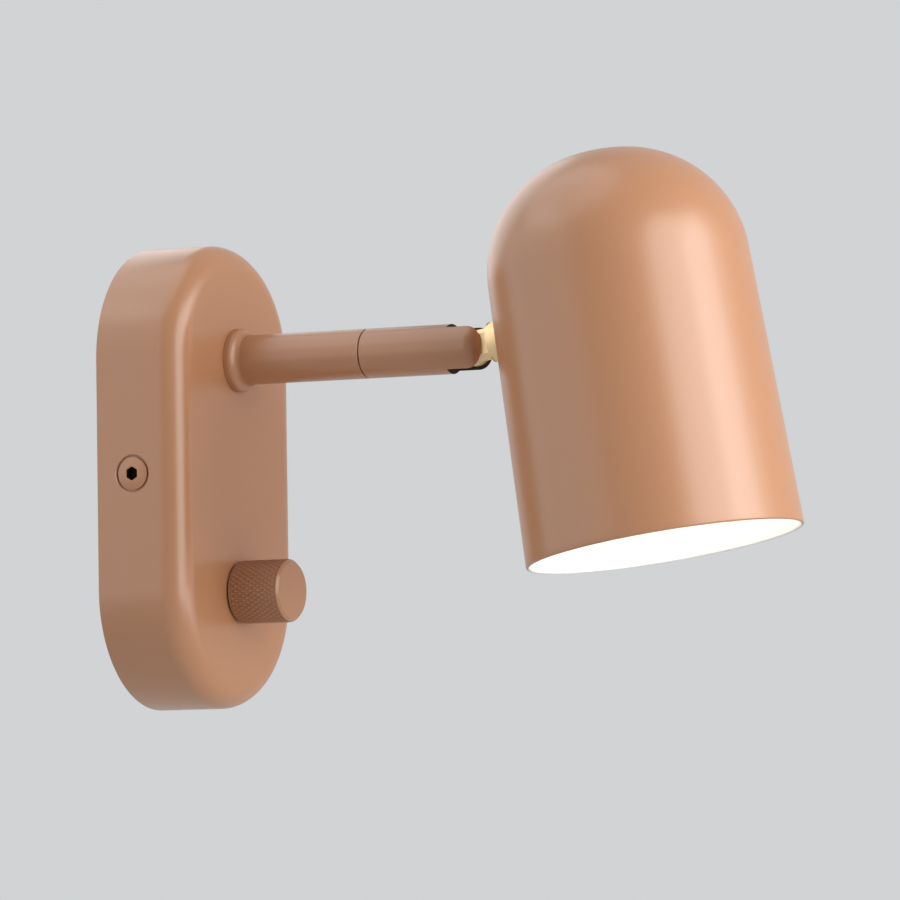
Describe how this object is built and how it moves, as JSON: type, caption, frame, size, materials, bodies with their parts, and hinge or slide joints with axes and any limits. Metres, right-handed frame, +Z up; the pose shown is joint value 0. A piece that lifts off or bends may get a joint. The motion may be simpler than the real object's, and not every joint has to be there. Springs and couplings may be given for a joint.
{
  "type": "wall lamp",
  "caption": "Wall reading lamp: pill-shaped base with a dimmer knob, a short swivel arm and a domed metal shade that tilts on a brass knuckle.",
  "frame": {"origin": "middle of the base's back face, on the wall", "axes": "+Y points into the wall and the lamp stands out towards -Y, +Z is up, +X is to the right as seen by someone facing the wall"},
  "size_m": [0.088, 0.2268, 0.1731],
  "materials": {
    "paint": "satin",
    "steel": "zinc plated",
    "brass": "polished",
    "nylon": "matt",
    "rubber": "matt",
    "cable": "matt sheath",
    "white_plastic": "gloss",
    "black_plastic": "matt",
    "opal_glass": "opal"
  },
  "bodies": {
    "base": {"wall_bracket": "steel", "clinch_nuts": "steel", "cable_grommet": "rubber", "terminal_block": "white_plastic", "terminal_clamps": "brass", "terminal_screws": "steel", "bracket_screws": "brass", "base_cover": "paint", "side_screws": "paint", "dimmer_case": "black_plastic", "dimmer_tags": "steel", "dimmer_bushing": "brass", "dimmer_washer": "steel", "dimmer_nut": "brass", "dimmer_leads": "cable", "arm_nipple": "steel", "arm_nut": "steel", "arm_lock_washer": "steel", "arm_collar": "paint", "arm_insert": "steel", "arm_tube": "paint", "swivel_spigot": "brass", "swivel_washer": "nylon", "swivel_stop_pin": "steel", "swivel_circlip": "steel", "arm_cable": "cable"},
    "arm_head": {"arm_head": "paint", "swivel_bushing": "brass", "pivot_screw": "steel", "friction_washers": "nylon", "head_cable": "cable"},
    "shade": {"knuckle": "brass", "saddle_washer": "nylon", "shade": "paint", "inner_saddle": "nylon", "stud_washer": "steel", "stud_nut": "brass", "holder_bracket": "steel", "holder_grommet": "rubber", "holder_nipple": "steel", "holder_nut": "steel", "lampholder_cap": "black_plastic", "lampholder_body": "black_plastic", "lampholder_shell": "brass", "lampholder_contact": "brass", "bulb_cap": "steel", "bulb_base": "white_plastic", "bulb_globe": "opal_glass", "shade_cores": "cable"},
    "knob": {"dimmer_shaft": "steel", "knob": "paint", "knob_grub_screw": "steel"}
  },
  "joints": [
    {"name": "arm_swivel", "type": "hinge", "parent": "base", "child": "arm_head", "pos_m": [0, -0.0794, 0.0375], "axis": [0, -1, 0], "range_deg": [-165, 165]},
    {"name": "shade_tilt", "type": "hinge", "parent": "arm_head", "child": "shade", "pos_m": [0, -0.116, 0.0375], "axis": [1, 0, 0], "range_deg": [-80, 70]},
    {"name": "knob_turn", "type": "hinge", "parent": "base", "child": "knob", "pos_m": [0, -0.031, -0.0375], "axis": [0, -1, 0], "range_deg": [0, 270]}
  ]
}
